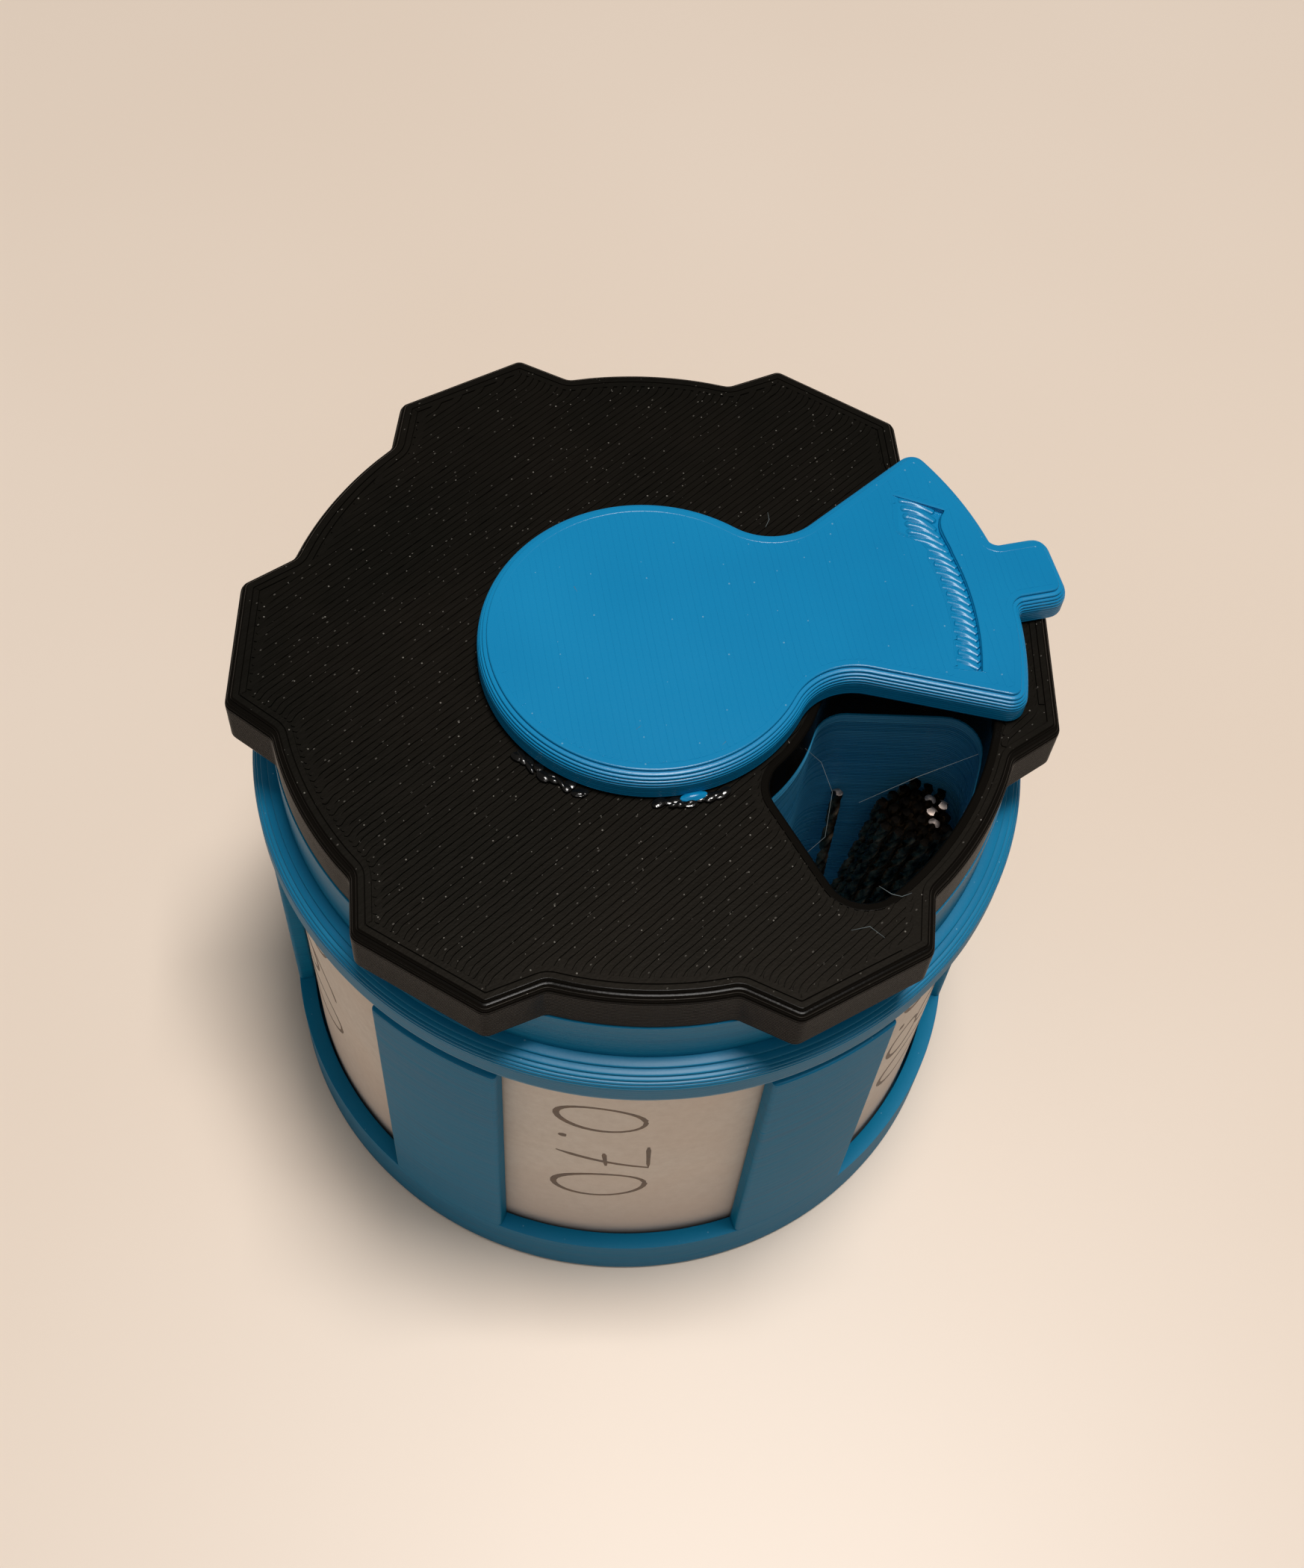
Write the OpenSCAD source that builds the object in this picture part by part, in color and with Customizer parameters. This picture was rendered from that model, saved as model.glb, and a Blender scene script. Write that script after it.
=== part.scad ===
// Rotary case for small twist drills: a windowed shell, a cup with six compartments, a lid
// that turns on the cup with one opening, and a shutter that turns on the lid to close it.
// The origin is on the axis, on the face that the case stands on. One window faces -Y.

/* [Shell] */
// Outer radius of the shell
shell_r = 25.3; // [25.1:0.1:26]
// Thickness of the shell's wall
shell_wall = 1.2; // [1:0.1:1.3]
// Height of the pillar tops, where the cup's flange rests
seam_z = 31.8; // [30:0.1:34]
// Height of the sill under the windows
sill_z = 4.5; // [4:0.1:8]
// Thickness of the shell's floor
shell_floor = 1.6; // [1.2:0.1:1.8]
// Angle that each pillar spans
pillar_angle = 20.8; // [14:0.1:26]

/* [Label cards] */
// Thickness of a card
card_t = 0.2; // [0.15:0.05:0.25]
// Angle that each card spans, so that its side edges lie behind the pillars
card_angle = 54; // [48:1:58]

/* [Cup] */
// Radius of the cup's body, inside the cards
cup_r = 23.6; // [23.3:0.1:23.7]
// Height of the cup's underside, just clear of the shell's floor
cup_z = 2; // [1.9:0.1:2.4]
// Thickness of the compartment floors
cup_floor = 1.2; // [0.8:0.1:2]
// Radius of the flange
flange_r = 25.5; // [25.3:0.1:26]
// Height of the flange's straight side
flange_h = 2.3; // [1.5:0.1:2.6]
// Height of the rounded shoulder above that side
shoulder_h = 1.2; // [0.6:0.1:1.6]
// Radius of the neck under the lid
neck_r = 23.9; // [23.7:0.1:24]
// Height of the cup's rim
rim_z = 39.3; // [38:0.1:40]

/* [Compartments] */
// Inner radius of a compartment and of the lid's opening
pocket_in_r = 11.2; // [10.9:0.1:12]
// Outer radius of a compartment and of the lid's opening
pocket_out_r = 21.8; // [21:0.1:22]
// Half the thickness of the walls between compartments
half_wall = 1.4; // [0.8:0.1:1.6]
// Radius of a compartment's corners
pocket_corner = 2.3; // [1.5:0.1:2.6]

/* [Lid] */
// Thickness of the lid
lid_t = 3.85; // [3:0.05:4]
// Radius of the lid between its grip lobes
lid_r = 23.5; // [23:0.1:24]
// Radius of the lobes' corners
lobe_r = 26; // [25:0.1:27]
// Half the angle between a lobe's two corners
lobe_half = 10; // [8:0.5:12]
// Half the angle between a lobe's two roots
root_half = 16.6; // [15:0.1:20]
// Rounding of the lobes' corners and roots
lobe_round = 0.8; // [0.3:0.1:1.2]

/* [Shutter] */
// Thickness of the shutter
shutter_t = 2.15; // [1.8:0.05:2.4]
// Radius of the hub disc
hub_r = 10.5; // [9:0.1:11]
// Outer radius of the fan
fan_r = 23.5; // [22.5:0.1:24]
// Half the angle of the fan
fan_half = 26.8; // [25:0.1:29]
// Radius of the waist between hub and fan
waist_r = 3.8; // [2:0.1:5]
// Width of the finger tab
tab_w = 5.2; // [4:0.1:7]
// Radius of the tab's end
tab_r = 27; // [25:0.1:28]
// Angle from the fan's middle to the tab's
tab_turn = -1.7; // [-4:0.1:4]
// Rounding of the fan's and tab's corners
fan_round = 1.2; // [0.6:0.1:1.6]
// Depth of the finger scoop
scoop_depth = 0.6; // [0.3:0.1:1]
// Radius of the scoop's outer edge
scoop_r = 20.2; // [20:0.1:20.5]
// Width of the scoop
scoop_w = 1.6; // [1:0.1:2]
// Angle at which the scoop starts, clockwise of the fan's middle
scoop_from = -22; // [-22:1:-12]
// Angle at which its wide end begins
scoop_to = 10; // [8:1:10]
// Angle of the fan's middle while the shutter stands open
open_angle = 15.8; // [0:0.1:60]

/* [Pivot] */
// Radius of the shutter's stem in the lid's bore
stem_r = 3.5; // [3:0.1:4]
// Radius of the pivot screw's shank
screw_r = 1.5; // [1.25:0.05:1.6]
// Length of the pivot screw's shank
screw_len = 10; // [9:0.5:11]
// Radial clearance of each running fit
running_gap = 0.06; // [0.03:0.01:0.1]
// Radius of the driver well in the cup's column
well_r = 4.2; // [4:0.1:6]
// Thickness of the web that the screw passes through
web_t = 4; // [3:0.1:4.5]

/* [Drill bits] */
// Diameter of the smallest bits, in the compartment at 150 degrees
bit_d = 0.5; // [0.4:0.05:0.6]
// Growth in diameter from one compartment to the next
bit_step = 0.1; // [0.05:0.05:0.1]
// Length of the bits in the compartment that the opening shows
shown_bit_len = 30; // [28:0.5:30]
// Change in length from one compartment to the next
bit_len_step = 2; // [1:0.1:2]

/* [Hidden] */

BLUE = "#1583bb";
BLACK = "#1c1a18";
PAPER = "#ece8e0";
STEEL = "#a8a9aa";
OXIDE = "#2a2724";

sectors = 6;                    // compartments, windows and lid lobes, a node for each card
sector = 360 / sectors;
first_window = -90;             // the window that faces -Y is number 1
step_gap = 0.05;                // running gap between the cup's rim and the lid
lid_z = rim_z + step_gap;
lid_top = lid_z + lid_t;
shutter_z = lid_top + 0.15;     // the shutter slides this far above the lid
floor_z = cup_z + cup_floor;    // inside floor of the compartments
divider_r = pocket_out_r - pocket_corner - 0.5;   // where the cup's own wall takes over
web_z = rim_z - web_t;          // underside of the web, where the washers seat
washer_t = 0.5;
washer_r = 3.5;
spring_t = 0.8;
spring_r = 3.05;
head_r = 2.8;
head_h = 2.2;
head_z = web_z - 0.03 - washer_t - spring_t;   // bearing face of the screw's head
card_r = (cup_r + shell_r - shell_wall) / 2;   // middle of the gap that holds the cards
card_z = shell_floor + 0.2;
pilot_r = screw_r - 0.02;       // the screw cuts its thread in the stem
pilot_top = shutter_z + 1;
base_round = 0.5;
clear = 0.5;                    // how far a cut runs past the face that it opens
shown = 1;                      // the compartment under the lid's opening
bit_gap = 0.06;                 // gap between neighbouring bits at their feet
bit_clear = 0.03;               // height of a bit's lowest point above the floor

// direction at an angle, as a 2-D unit vector
function dir(a) = [cos(a), sin(a)];
function unit(v) = v / norm(v);

// arc of radius r that rounds the corner q between its neighbours p and s
function corner(p, q, s, r, n = 6) = r == 0 ? [q] :
  let (a = unit(p - q), b = unit(s - q), half = acos(a * b) / 2,
    c = q + unit(a + b) * (r / sin(half)), reach = r / tan(half),
    va = q + a * reach - c, vb = q + b * reach - c,
    start = atan2(va.y, va.x), full = atan2(vb.y, vb.x) - start,
    turn = full > 180 ? full - 360 : full < -180 ? full + 360 : full)
  [for (i = [0 : n]) c + r * dir(start + turn * i / n)];

// outline with its own rounding radius at each point
function rounded(pts, radii) = let (n = len(pts))
  [for (i = [0 : n - 1]) each corner(pts[(i + n - 1) % n], pts[i], pts[(i + 1) % n], radii[i])];

// points along an arc about the axis, without its two ends
function arc(r, from, to, n) = [for (i = [1 : n - 1]) r * dir(from + (to - from) * i / n)];

// where a line parallel to the radial at angle a, moved sideways by d, meets the circle r
function beside(r, a, d) = d * dir(a + 90) + sqrt(r * r - d * d) * dir(a);
function angle_of(p) = atan2(p.y, p.x);

// arc of radius r about a centre, both ends included
function round_arc(centre, r, from, to, n) =
  [for (i = [0 : n]) centre + r * dir(from + (to - from) * i / n)];

// pie with rounded corners, centred on angle 0: a compartment, or the lid's opening
module pocket_outline() {
  half = sector / 2;
  depth = -half_wall - pocket_corner;
  inside = beside(pocket_in_r + pocket_corner, half, depth);
  outside = beside(pocket_out_r - pocket_corner, half, depth);
  a = angle_of(inside);
  b = angle_of(outside);
  side = concat(round_arc(inside, pocket_corner, a + 180, half + 90, 5),
    round_arc(outside, pocket_corner, half + 90, b, 5));
  opposite = [for (i = [len(side) - 1 : -1 : 0]) [side[i].x, -side[i].y]];
  polygon(concat(side, arc(pocket_out_r, b, -b, 10), opposite, arc(pocket_in_r, -a, a, 5)));
}

// the gap between two pillars, measured inside the shell's wall
module window_cutter() {
  rotate(-(sector - pillar_angle) / 2)
    rotate_extrude(angle = sector - pillar_angle, $fn = 180)
      translate([shell_r - shell_wall - 1, sill_z]) square([shell_wall + 2, seam_z]);
}

module outer_shell() {
  color(BLUE) difference() {
    rotate_extrude($fn = 180) polygon([[0, 0], [shell_r - base_round, 0],
      [shell_r, base_round], [shell_r, seam_z], [shell_r - shell_wall, seam_z],
      [shell_r - shell_wall, shell_floor], [0, shell_floor]]);
    for (i = [0 : sectors - 1]) rotate(first_window + sector * i) window_cutter();
  }
}

// i counts the windows anticlockwise from the one that faces -Y
module label_card(i) {
  color(PAPER) rotate(first_window + sector * i - card_angle / 2)
    rotate_extrude(angle = card_angle, $fn = 180)
      translate([card_r - card_t / 2, card_z]) square([card_t, seam_z - 0.2 - card_z]);
}

// the six compartments as solids that stand on the height z
module compartments(z) {
  for (i = [0 : sectors - 1]) rotate(first_window + sector * i)
    translate([0, 0, z]) linear_extrude(rim_z) pocket_outline();
}

// the cup's floor, outer wall and flange, with the roots of the walls between compartments
module compartment_cup() {
  flange_top = seam_z + flange_h;
  shoulder = [for (i = [0 : 8]) [neck_r + (flange_r - neck_r) * cos(90 * i / 8),
    flange_top + shoulder_h * sin(90 * i / 8)]];
  color(BLUE) difference() {
    rotate_extrude($fn = 180) polygon(concat([[well_r, cup_z], [cup_r, cup_z], [cup_r, seam_z],
      [flange_r, seam_z]], shoulder, [[neck_r, rim_z], [divider_r, rim_z],
      [divider_r, floor_z], [well_r, floor_z]]));
    compartments(floor_z);
  }
}

// the column in the middle and the walls that run from it, one piece with the cup
module compartment_divider() {
  color(BLUE) difference() {
    translate([0, 0, floor_z]) cylinder(r = divider_r, h = rim_z - floor_z, $fn = 180);
    compartments(floor_z - clear);
    translate([0, 0, floor_z - clear]) cylinder(r = well_r, h = web_z - floor_z + clear, $fn = 64);
    translate([0, 0, web_z - clear])
      cylinder(r = screw_r + running_gap, h = web_t + 2 * clear, $fn = 48);
  }
}

module lid_outline() {
  between = sector - 2 * root_half;
  polygon(rounded(
    [for (i = [0 : sectors - 1]) each concat(
      [lid_r * dir(sector * i - root_half), lobe_r * dir(sector * i - lobe_half),
        lobe_r * dir(sector * i + lobe_half), lid_r * dir(sector * i + root_half)],
      arc(lid_r, sector * i + root_half, sector * i + root_half + between, 8))],
    [for (i = [0 : sectors - 1]) each concat([for (k = [1 : 4]) lobe_round],
      [for (k = [1 : 7]) 0])]));
}

// the opening stands over the compartment next to the front one
module lid() {
  color(BLACK) difference() {
    translate([0, 0, lid_z]) linear_extrude(lid_t) lid_outline();
    rotate(first_window + sector * shown) translate([0, 0, lid_z - clear])
      linear_extrude(lid_t + 2 * clear) pocket_outline();
    translate([0, 0, lid_z - clear])
      cylinder(r = stem_r + running_gap, h = lid_t + 2 * clear, $fn = 64);
  }
}

// half of the shutter's outline from the waist to the tab, on the side given by sign
function fan_side(sign) =
  let (waist = hub_r + waist_r, lean = asin(waist_r / waist), waist_a = sign * (fan_half + lean),
    corner_c = beside(fan_r - fan_round, sign * fan_half, -sign * fan_round),
    corner_a = angle_of(corner_c), tab_a = tab_turn + sign * asin(tab_w / 2 / fan_r))
  concat(round_arc(waist * dir(waist_a), waist_r, waist_a + 180, waist_a + 180 + sign * (90 - lean), 10),
    round_arc(corner_c, fan_round, sign * (fan_half + 90), corner_a, 6),
    arc(fan_r, corner_a, tab_a, 8));

module shutter_outline() {
  up = fan_side(1);
  low = fan_side(-1);
  tab = [for (s = [1, -1]) beside(fan_r, tab_turn, s * tab_w / 2)];
  tip = [for (s = [1, -1]) beside(tab_r, tab_turn, s * tab_w / 2)];
  back = [for (i = [len(low) - 1 : -1 : 0]) low[i]];
  radii = concat([for (p = up) 0], [0.4, fan_round, fan_round, 0.4], [for (p = low) 0]);
  circle(hub_r, $fn = 120);
  polygon(rounded(concat(up, [tab[0], tip[0], tip[1], tab[1]], back), radii));
}

// crescent for a fingertip, drawn with the fan's middle at angle 0; its wide end is cut square
module scoop_outline() {
  wide_end = [[21, 4.6], [18.3, 6.9], [17.5, 3.7]];
  polygon(concat(round_arc([0, 0], scoop_r, scoop_from, scoop_to, 12), wide_end,
    round_arc([0, 0], scoop_r - scoop_w, scoop_to, scoop_from + 1.5, 10)));
}

module shutter() {
  color(BLUE) rotate(open_angle) difference() {
    union() {
      translate([0, 0, shutter_z]) linear_extrude(shutter_t) shutter_outline();
      translate([0, 0, lid_z + 0.05]) cylinder(r = stem_r, h = shutter_z - lid_z, $fn = 64);
    }
    translate([0, 0, shutter_z + shutter_t - scoop_depth])
      linear_extrude(scoop_depth + clear) scoop_outline();
    translate([0, 0, lid_z - clear]) cylinder(r = pilot_r, h = pilot_top - lid_z + clear, $fn = 48);
  }
}

module pivot_screw() {
  recess = 0.9;
  color(STEEL) difference() {
    union() {
      translate([0, 0, head_z - 0.05]) cylinder(r = screw_r, h = screw_len + 0.05, $fn = 48);
      translate([0, 0, head_z - head_h]) rotate_extrude($fn = 64)
        polygon([[0, 0], [head_r - 0.8, 0], [head_r - 0.25, 0.3], [head_r, 0.9],
          [head_r, head_h], [0, head_h]]);
    }
    for (a = [0, 90]) rotate(a) translate([-1.5, -recess / 2, head_z - head_h - clear])
      cube([3, recess, clear + 1.3]);
  }
}

module washer(z, outer_r, t) {
  translate([0, 0, z]) rotate_extrude($fn = 64)
    translate([screw_r + 0.1, 0]) square([outer_r - screw_r - 0.1, t]);
}

module flat_washer() {
  color(STEEL) washer(head_z + spring_t, washer_r, washer_t);
}

// split ring, with its slanting cut drawn as a narrow slot
module spring_washer() {
  slot = 0.5;
  color(STEEL) difference() {
    washer(head_z, spring_r, spring_t);
    translate([screw_r - 0.2, -slot / 2, head_z - clear]) cube([spring_r, slot, spring_t + 2 * clear]);
  }
}

// one plain drill standing on z = 0, its point up
module bit(d, len) {
  point = d / 2 / tan(59);
  rotate_extrude($fn = 24) polygon([[0, 0], [d / 2, 0], [d / 2, len - point], [0, len]]);
}

// places of a packed bundle out to reach, counted in bit pitches from its middle
function bundle_places(reach) = reach == 0 ? [[0, 0]] :
  [for (u = [-4 : 4]) for (v = [-4 : 4])
    let (place = [u + v / 2 + 0.5, (v + 1 / 3) * sqrt(3) / 2]) if (norm(place) <= reach) place];

// bundle that stands at foot, a place on the compartment's floor, and leans by tilt towards
// the bearing; its bits spread apart towards the tips by the fraction splay
module bundle(d, len, reach, foot, bearing, tilt, splay) {
  pitch = d + bit_gap;
  translate([foot.x, foot.y, floor_z]) rotate(bearing)
    for (place = bundle_places(reach)) {
      lean = [sin(tilt), 0] + splay * place * pitch / len;
      lift = bit_clear + d / 2 * norm(lean);
      translate([place.x * pitch / cos(tilt), place.y * pitch, lift])
        rotate([0, asin(norm(lean)), atan2(lean.y, lean.x)]) bit(d, len);
    }
}

// i counts the compartments as the windows are counted; the smallest bits stand in number 5
module drill_bits(i) {
  size_step = (i + 2) % sectors;
  d = bit_d + bit_step * size_step;
  len = shown_bit_len + bit_len_step * (size_step - 3);
  color(OXIDE) rotate(first_window + sector * i)
    if (i == shown) bundle(d, len, 2.55, [15, -1], 64.6, 14, 0.06);
    else bundle(d, len, 3.5 - 2 * d, [14.9, 0], 20 + 40 * sin(70 * i), 7, 0.15);
}

module loose_drill_bit() {
  color(OXIDE) rotate(first_window + sector * shown)
    bundle(bit_d + 3 * bit_step, shown_bit_len, 0, [16.2, -5.9], 108, 22.3, 0);
}

outer_shell();
label_card(0);  // label_card_1
label_card(1);  // label_card_2
label_card(2);  // label_card_3
label_card(3);  // label_card_4
label_card(4);  // label_card_5
label_card(5);  // label_card_6
compartment_cup();
compartment_divider();
lid();
shutter();
pivot_screw();
flat_washer();
spring_washer();
drill_bits(0);  // drill_bits_1
drill_bits(1);  // drill_bits_2
drill_bits(2);  // drill_bits_3
drill_bits(3);  // drill_bits_4
drill_bits(4);  // drill_bits_5
drill_bits(5);  // drill_bits_6
loose_drill_bit();
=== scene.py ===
"""Looks of a printed rotary case for small twist drills.

Lengths are millimetres in the part's own frame until a mesh is made, and angles are degrees.
"""
import random
from math import acos, asin, atan2, ceil, cos, degrees, floor, pi, radians, sin, sqrt, tan

import bmesh
import bpy
import numpy as np
from mathutils import Euler, Matrix, Vector, noise
from mathutils.geometry import tessellate_polygon


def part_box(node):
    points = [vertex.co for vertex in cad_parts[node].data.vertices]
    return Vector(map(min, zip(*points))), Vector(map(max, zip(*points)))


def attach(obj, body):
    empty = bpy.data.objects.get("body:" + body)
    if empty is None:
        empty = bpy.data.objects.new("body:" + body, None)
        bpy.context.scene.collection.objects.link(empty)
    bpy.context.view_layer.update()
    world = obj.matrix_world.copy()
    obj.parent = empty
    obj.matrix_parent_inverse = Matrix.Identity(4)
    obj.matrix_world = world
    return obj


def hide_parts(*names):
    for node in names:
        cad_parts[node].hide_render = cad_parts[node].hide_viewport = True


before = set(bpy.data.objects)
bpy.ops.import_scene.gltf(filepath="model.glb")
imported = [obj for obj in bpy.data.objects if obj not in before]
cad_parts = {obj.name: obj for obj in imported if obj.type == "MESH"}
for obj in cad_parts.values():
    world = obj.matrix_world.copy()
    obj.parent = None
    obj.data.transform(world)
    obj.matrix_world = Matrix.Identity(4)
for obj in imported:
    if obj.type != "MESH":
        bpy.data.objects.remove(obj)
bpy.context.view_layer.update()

MM = 0.001


def node_z(node):
    """Lowest and highest point of a CAD node in millimetres."""
    return [corner[2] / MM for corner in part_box(node)]


def node_radius(node):
    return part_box(node)[1][0] / MM


# ---- sizes, from the frame and as on the printed parts ----
SECTORS = 6
SECTOR = 360 / SECTORS
FIRST_WINDOW = -90
SHOWN = 1  # the compartment under the lid's opening

LAYER = 0.2  # height of one printed layer
GROOVE = 0.03  # depth of the groove between two layers
LINE = 0.42  # width of one printed line
WALL_ROUGH, SHELL_ROUGH, POCKET_ROUGH = 0.012, 0.014, 0.006  # unevenness of printed walls

SHELL_R, SEAM_Z = node_radius("outer_shell"), node_z("outer_shell")[1]
SHELL_IN_R = SHELL_R - 1.2
SHELL_FLOOR = 1.6
SILL_Z = 4.5
PILLAR_ANGLE = 20.8
BASE_ROUND = 0.5

CUP_Z, RIM_Z = node_z("compartment_cup")
CUP_R = 23.6
FLOOR_Z = CUP_Z + 1.2
FLANGE_R = node_radius("compartment_cup") - 0.25  # inside the pillar tops, which show as a fine ledge
SHOULDER_H = 1.2
SHOULDER_Z = SEAM_Z + 2.3 + SHOULDER_H
NECK_R = 23.6
WELL_R = 4.2
WEB_Z = RIM_Z - 4
SCREW_HOLE_R = 1.56

POCKET_IN_R = 11.2
POCKET_OUT_R = 21.8
HALF_WALL = 1.4
POCKET_CORNER = 2.3

LID_Z, LID_TOP = node_z("lid")
LID_R = 23.5
LOBE_R = 26
LOBE_HALF, ROOT_HALF = 10, 16.6  # half angles of a lobe at its tip and at its root
LOBE_ROUND = 0.8
BORE_R = 3.56

STEM_Z, SHUTTER_TOP = node_z("shutter")
SHUTTER_Z = SHUTTER_TOP - 2.15
OPEN_ANGLE = 15.8
HUB_R = 10.5
FAN_R = 23.5
FAN_HALF = 26.8
FAN_ROUND = 1.2
WAIST_R = 3.8
TAB_R, TAB_W, TAB_TURN = 27, 5.2, -1.7
STEM_R = 3.5
PILOT_R = 1.48

CARD_Z, CARD_TOP = node_z("label_card_1")
CARD_R = 23.85
CARD_ANGLE = 54
CARD_T = 0.12

BIT_D, BIT_STEP = 0.5, 0.1  # the thinnest drills, and how much each next size is thicker
SHOWN_BIT_LEN = 30
BIT_LEN_STEP = 2
BIT_GAP = 0.06
BIT_CLEAR = 0.03


# ---- outlines ----
def direction(a):
    return np.array([cos(radians(a)), sin(radians(a))])


def units(vectors):
    """Each row made 1 long."""
    return vectors / np.maximum(np.linalg.norm(vectors, axis=1), 1e-9)[:, None]


def to_left(vectors):
    """Each row turned by a quarter, anticlockwise."""
    return np.stack([-vectors[:, 1], vectors[:, 0]], axis=1)


def arc(r, start, end, n, centre=(0, 0)):
    """n + 1 points along an arc, both ends included."""
    return [np.array(centre) + r * direction(start + (end - start) * i / n) for i in range(n + 1)]


def turned(points, a):
    c, s = direction(a)
    return np.asarray(points) @ np.array([[c, s], [-s, c]])


def beside(r, a, d):
    """Where a line parallel to the radial at angle a, moved sideways by d, meets the circle r."""
    return d * direction(a + 90) + sqrt(r * r - d * d) * direction(a)


def angle_of(p):
    return degrees(atan2(p[1], p[0]))


def corner(p, q, s, r, n=6):
    """Arc of radius r that rounds the corner q between its neighbours p and s."""
    if r == 0:
        return [q]
    a, b = units(np.array([p - q, s - q]))
    half = acos(float(a @ b)) / 2
    centre = q + units(np.array([a + b]))[0] * (r / sin(half))
    reach = r / tan(half)
    start = angle_of(q + a * reach - centre)
    turn = (angle_of(q + b * reach - centre) - start + 180) % 360 - 180
    return arc(r, start, start + turn, n, centre)


def rounded(points, radii):
    """Outline with its own rounding radius at each point."""
    n = len(points)
    return np.array([p for i in range(n)
                     for p in corner(points[i - 1], points[i], points[(i + 1) % n], radii[i])])


class Outline:
    """An outline as a function of its inset, cut so that no edge is longer than step."""

    def __init__(self, make, step):
        self.make = make
        points = make(0)
        edges = np.linalg.norm(np.roll(points, -1, axis=0) - points, axis=1)
        self.cuts = [max(1, ceil(float(edge) / step)) for edge in edges]

    def __call__(self, d=0):
        points = self.make(d)
        out = []
        for p, q, n in zip(points, np.roll(points, -1, axis=0), self.cuts):
            out += [p + (q - p) * i / n for i in range(n)]
        return np.array(out)


def fixed(points, step=1000):
    """An outline that keeps its points and moves each of them by the inset."""
    return Outline(lambda d: inset(points, d), step)


def inset(points, d):
    """An anticlockwise outline moved inwards by d, or outwards where d is negative."""
    if d == 0:
        return points
    inward = to_left(units(np.roll(points, -1, axis=0) - points))
    before = np.roll(inward, 1, axis=0)
    share = 1 + np.sum(inward * before, axis=1)
    return points + d * (inward + before) / share[:, None]


def circle(r, n=240):
    return np.array(arc(r, 0, 360, n)[:-1])


def pocket_outline():
    """A compartment, or the lid's opening, centred on angle 0."""
    half = SECTOR / 2
    depth = -HALF_WALL - POCKET_CORNER
    inside = beside(POCKET_IN_R + POCKET_CORNER, half, depth)
    outside = beside(POCKET_OUT_R - POCKET_CORNER, half, depth)
    a, b = angle_of(inside), angle_of(outside)
    side = arc(POCKET_CORNER, a + 180, half + 90, 8, inside)
    side += arc(POCKET_CORNER, half + 90, b, 8, outside)
    opposite = [np.array([p[0], -p[1]]) for p in reversed(side)]
    outer = arc(POCKET_OUT_R, b, -b, 24)[1:-1]
    inner = arc(POCKET_IN_R, -a, a, 12)[1:-1]
    return np.array(side + outer + opposite + inner)[::-1]


def lid_outline(d=0):
    """The lid's outline moved inwards by d; its corners grow sharper and its roots rounder."""
    points, radii = [], []
    lobe, root = max(LOBE_ROUND - d, 0.1), max(LOBE_ROUND + d, 0.1)
    for i in range(SECTORS):
        mid = SECTOR * i
        points += [LID_R * direction(mid - ROOT_HALF), LOBE_R * direction(mid - LOBE_HALF),
                   LOBE_R * direction(mid + LOBE_HALF), LID_R * direction(mid + ROOT_HALF)]
        between = arc(LID_R, mid + ROOT_HALF, mid + SECTOR - ROOT_HALF, 24)[3:-3]
        points += between
        radii += [root, lobe, lobe, root] + [0] * len(between)
    return rounded(inset(np.array(points), d), radii)


def fan_side(sign):
    """Half of the shutter's outline from the waist to the tab, on the side given by sign."""
    waist = HUB_R + WAIST_R
    lean = degrees(asin(WAIST_R / waist))
    waist_a = sign * (FAN_HALF + lean)
    corner_c = beside(FAN_R - FAN_ROUND, sign * FAN_HALF, -sign * FAN_ROUND)
    corner_a = angle_of(corner_c)
    tab_a = TAB_TURN + sign * degrees(asin(TAB_W / 2 / FAN_R))
    side = arc(WAIST_R, waist_a + 180, waist_a + 180 + sign * (90 - lean), 20, waist * direction(waist_a))
    side += arc(FAN_ROUND, sign * (FAN_HALF + 90), corner_a, 8, corner_c)
    return side + arc(FAN_R, corner_a, tab_a, 14)[1:-1], waist_a


def shutter_outline():
    """Hub, fan and finger tab with the fan's middle at angle 0, anticlockwise."""
    up, up_a = fan_side(1)
    low, low_a = fan_side(-1)
    tab = [beside(FAN_R, TAB_TURN, s * TAB_W / 2) for s in (1, -1)]
    tip = [beside(TAB_R, TAB_TURN, s * TAB_W / 2) for s in (1, -1)]
    hub = arc(HUB_R, low_a, up_a - 360, 110)[1:-1]
    points = up + [tab[0], tip[0], tip[1], tab[1]] + low[::-1] + hub
    radii = [0] * len(up) + [0.4, FAN_ROUND, FAN_ROUND, 0.4] + [0] * (len(low) + len(hub))
    return rounded(points, radii)[::-1]


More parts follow.
